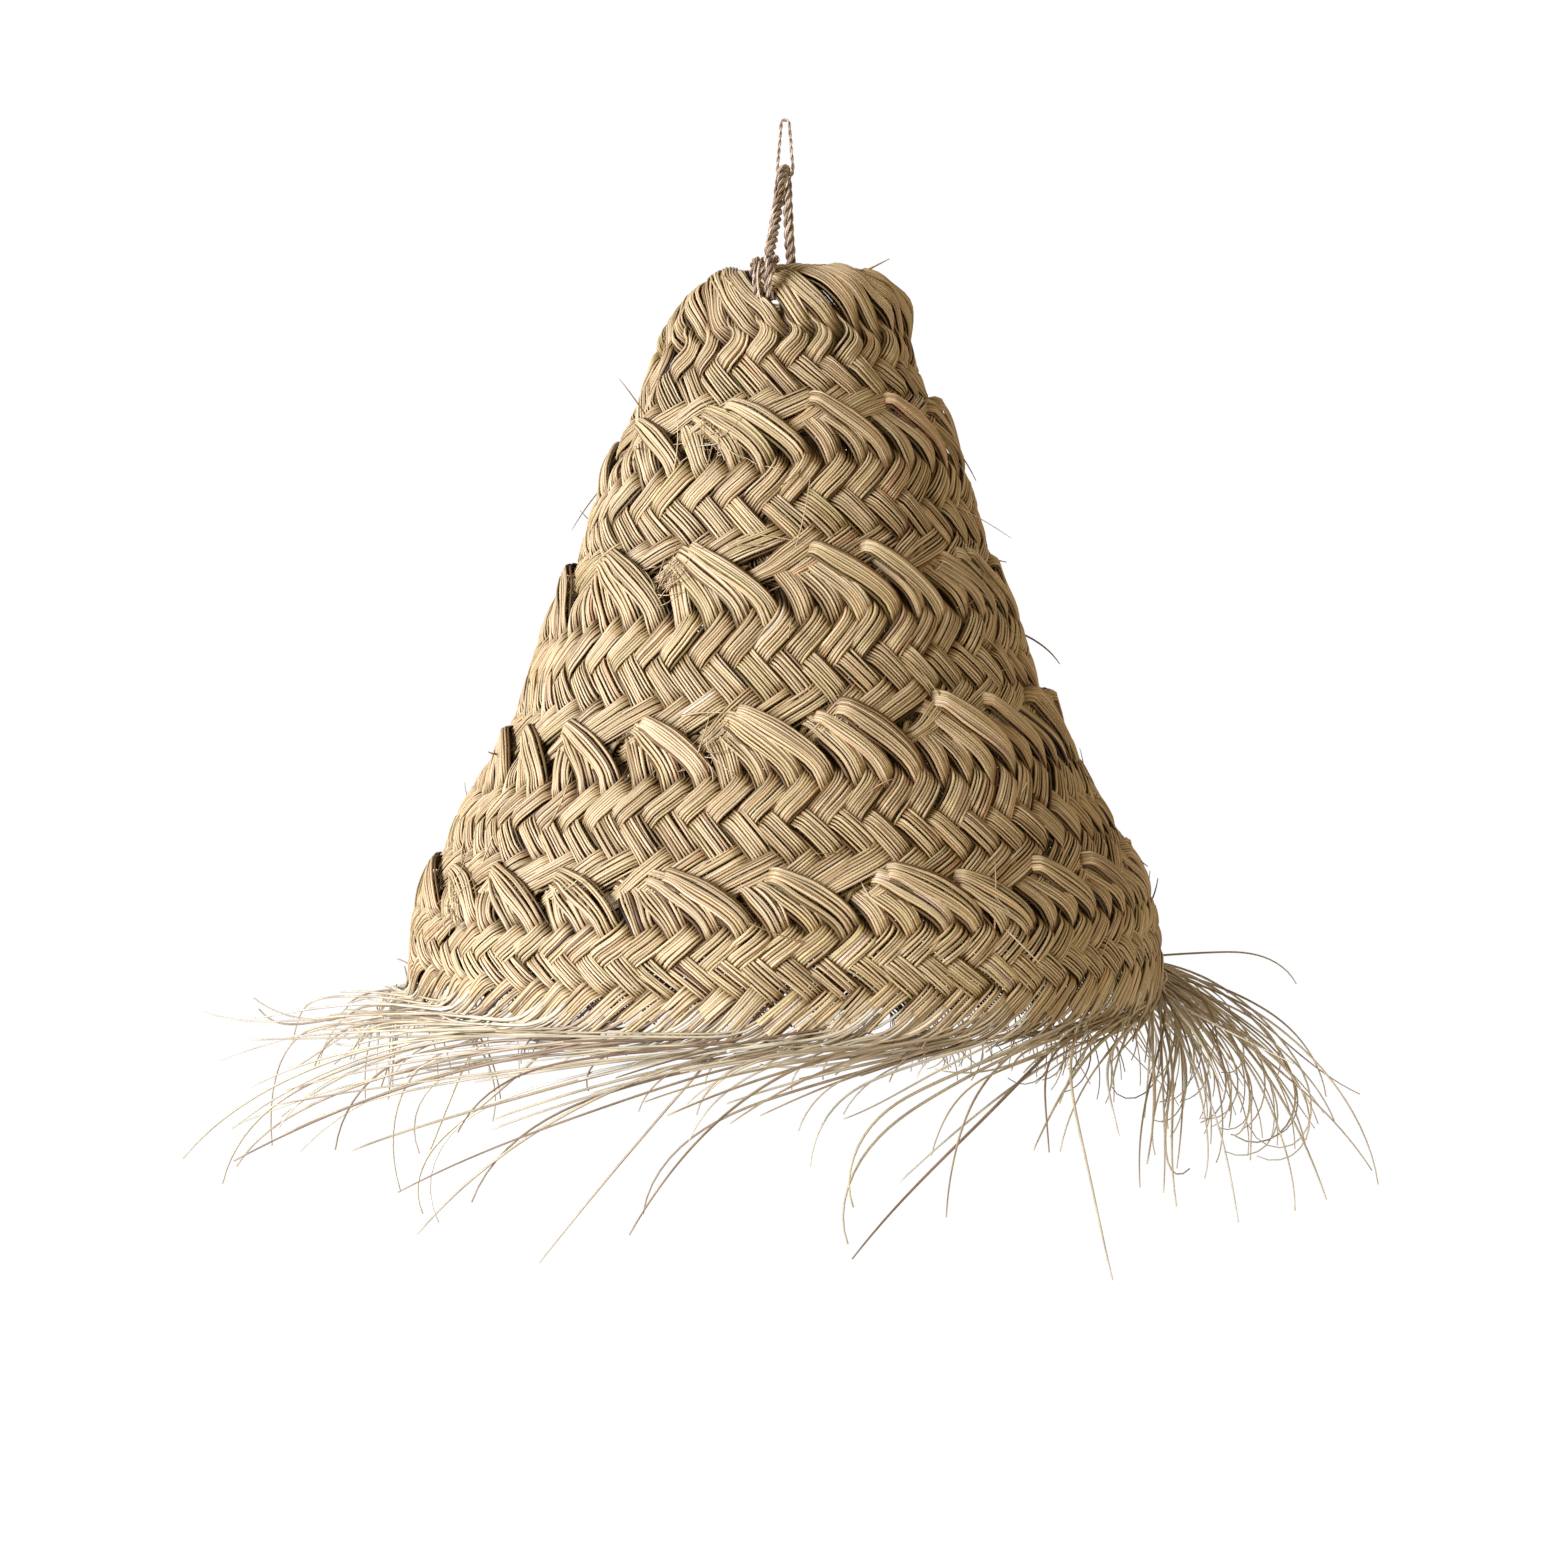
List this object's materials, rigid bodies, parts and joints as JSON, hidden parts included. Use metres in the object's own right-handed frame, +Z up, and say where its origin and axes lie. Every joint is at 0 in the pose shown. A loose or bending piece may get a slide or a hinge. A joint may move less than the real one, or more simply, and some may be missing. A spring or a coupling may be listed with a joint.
{
  "type": "conical straw hat",
  "caption": "Tall cone of plaited esparto straw with an open crown, a raw fringe round the rim and a rope loop on a twine to hang it by.",
  "frame": {"origin": "inside the top bend of the twine loop, where it rests on its hook, on the cone's axis", "axes": "+Z up along the cone's axis; the rope loop's two legs are at -Y, the front, and +Y; the twine loop lies in the XZ plane"},
  "size_m": [0.639, 0.6416, 0.5634],
  "materials": {
    "esparto_plait": "matte",
    "esparto_cord": "matte",
    "twisted_rope": "matte",
    "pale_twine": "matte",
    "fringe_blades": "matte"
  },
  "bodies": {
    "hanger": {"twine_loop": "pale_twine"},
    "rope": {"hanging_rope": "twisted_rope"},
    "cone": {"plait_ring_1": "esparto_plait", "plait_ring_2": "esparto_plait", "plait_ring_3": "esparto_plait", "plait_ring_4": "esparto_plait", "plait_ring_5": "esparto_plait", "crown_binding": "esparto_plait", "seam_cord_1": "esparto_cord", "seam_cord_2": "esparto_cord", "seam_cord_3": "esparto_cord", "seam_cord_4": "esparto_cord", "front_hitch": "twisted_rope", "rear_hitch": "twisted_rope", "fringe_tuft_01": "fringe_blades", "fringe_tuft_02": "fringe_blades", "fringe_tuft_03": "fringe_blades", "fringe_tuft_04": "fringe_blades", "fringe_tuft_05": "fringe_blades", "fringe_tuft_06": "fringe_blades", "fringe_tuft_07": "fringe_blades", "fringe_tuft_08": "fringe_blades", "fringe_tuft_09": "fringe_blades", "fringe_tuft_10": "fringe_blades", "fringe_tuft_11": "fringe_blades", "fringe_tuft_12": "fringe_blades", "fringe_tuft_13": "fringe_blades", "fringe_tuft_14": "fringe_blades", "fringe_tuft_15": "fringe_blades", "fringe_tuft_16": "fringe_blades", "fringe_tuft_17": "fringe_blades", "fringe_tuft_18": "fringe_blades", "fringe_tuft_19": "fringe_blades", "fringe_tuft_20": "fringe_blades", "fringe_tuft_21": "fringe_blades", "fringe_tuft_22": "fringe_blades", "fringe_tuft_23": "fringe_blades", "fringe_tuft_24": "fringe_blades", "fringe_tuft_25": "fringe_blades", "fringe_tuft_26": "fringe_blades", "fringe_tuft_27": "fringe_blades", "fringe_tuft_28": "fringe_blades", "fringe_tuft_29": "fringe_blades", "fringe_tuft_30": "fringe_blades"}
  },
  "joints": [
    {"name": "rope_swing", "type": "hinge", "parent": "hanger", "child": "rope", "pos_m": [0, 0, -0.0305], "axis": [1, 0, 0], "range_deg": [-25, 25]},
    {"name": "cone_tilt", "type": "hinge", "parent": "rope", "child": "cone", "pos_m": [-0.002, 0, -0.0935], "axis": [0.1282, 0.9917, 0], "range_deg": [-15, 15]}
  ]
}
